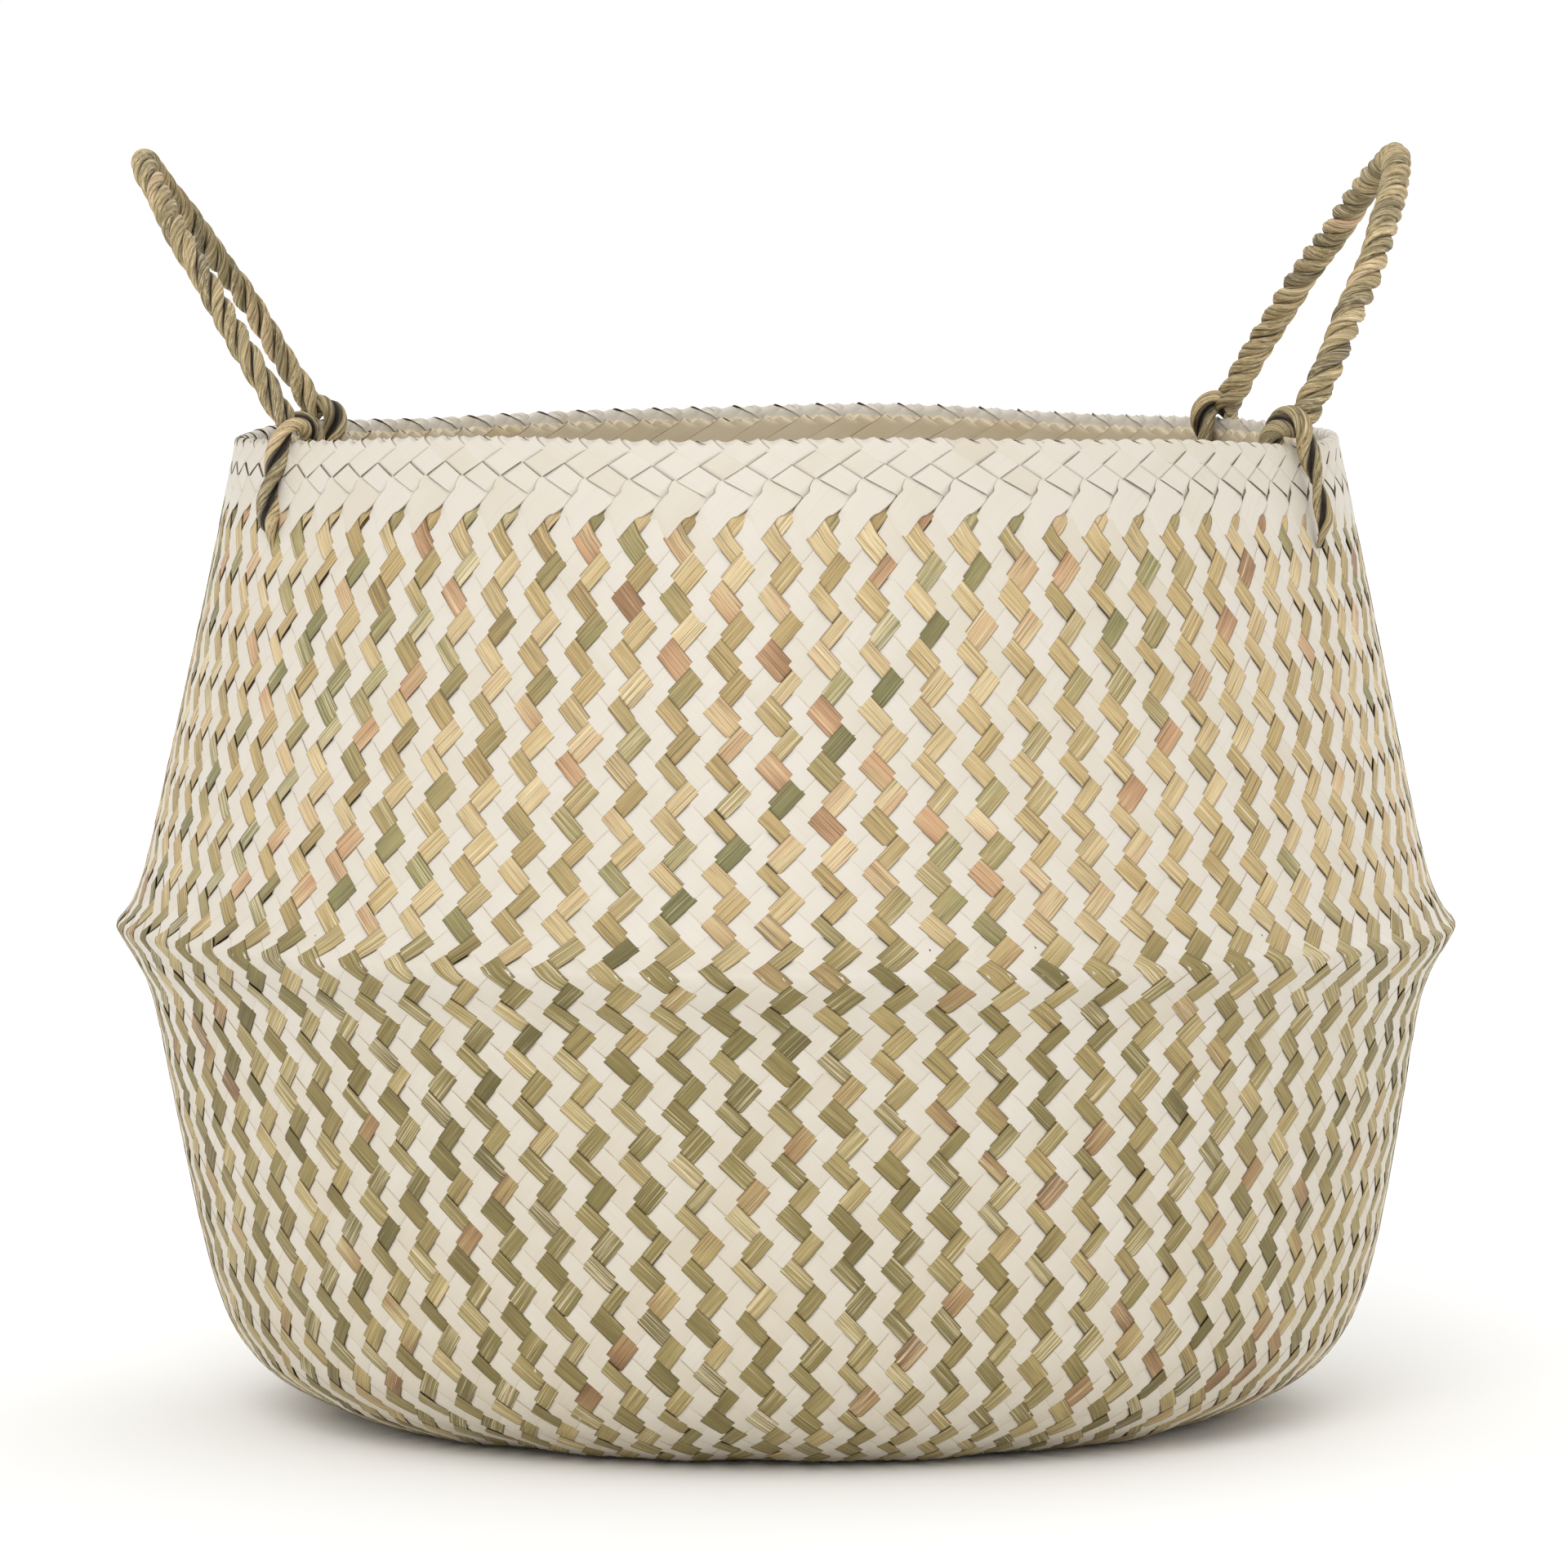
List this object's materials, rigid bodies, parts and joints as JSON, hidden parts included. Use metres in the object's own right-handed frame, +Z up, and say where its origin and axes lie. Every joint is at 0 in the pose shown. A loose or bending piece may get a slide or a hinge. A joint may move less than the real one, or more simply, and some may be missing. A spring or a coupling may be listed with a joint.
{
  "type": "woven belly basket",
  "caption": "Round plaited palm-leaf basket with a fold line round its waist, a white plaited rim band and twisted rope handles; its top half pushes down into its bottom half.",
  "frame": {"origin": "centre of the flat base, on the surface that the basket stands on", "axes": "+Z up through the mouth, -Y the front, handles at -X (left) and +X (right)"},
  "size_m": [0.4504, 0.4504, 0.4253],
  "materials": {
    "natural_palm": "matte",
    "bleached_palm": "satin",
    "grass_rope": "matte"
  },
  "bodies": {
    "body": {"base": "natural_palm", "base_turnup": "natural_palm", "lower_wall": "natural_palm", "upper_wall": "natural_palm"},
    "rim": {"rim_band": "bleached_palm", "rim_lining": "bleached_palm", "left_front_lashing": "grass_rope", "left_back_lashing": "grass_rope", "right_front_lashing": "grass_rope", "right_back_lashing": "grass_rope", "left_front_tail": "grass_rope", "left_back_tail": "grass_rope", "right_front_tail": "grass_rope", "right_back_tail": "grass_rope"},
    "left_handle": {"left_handle_ply_1": "grass_rope", "left_handle_ply_2": "grass_rope", "left_handle_ply_3": "grass_rope"},
    "right_handle": {"right_handle_ply_1": "grass_rope", "right_handle_ply_2": "grass_rope", "right_handle_ply_3": "grass_rope"}
  },
  "joints": [
    {"name": "belly_fold", "type": "slide", "parent": "body", "child": "rim", "axis": [0, 0, -1], "range_m": [0, 0.16], "deforming": ["upper_wall"]},
    {"name": "left_handle_swing", "type": "hinge", "parent": "rim", "child": "left_handle", "pos_m": [-0.16004, 0, 0.328], "axis": [0, 1, 0], "range_deg": [-33, 90]},
    {"name": "right_handle_swing", "type": "hinge", "parent": "rim", "child": "right_handle", "pos_m": [0.15638, 0.01368, 0.328], "axis": [0.0872, -0.9962, 0], "range_deg": [-35, 90]}
  ]
}
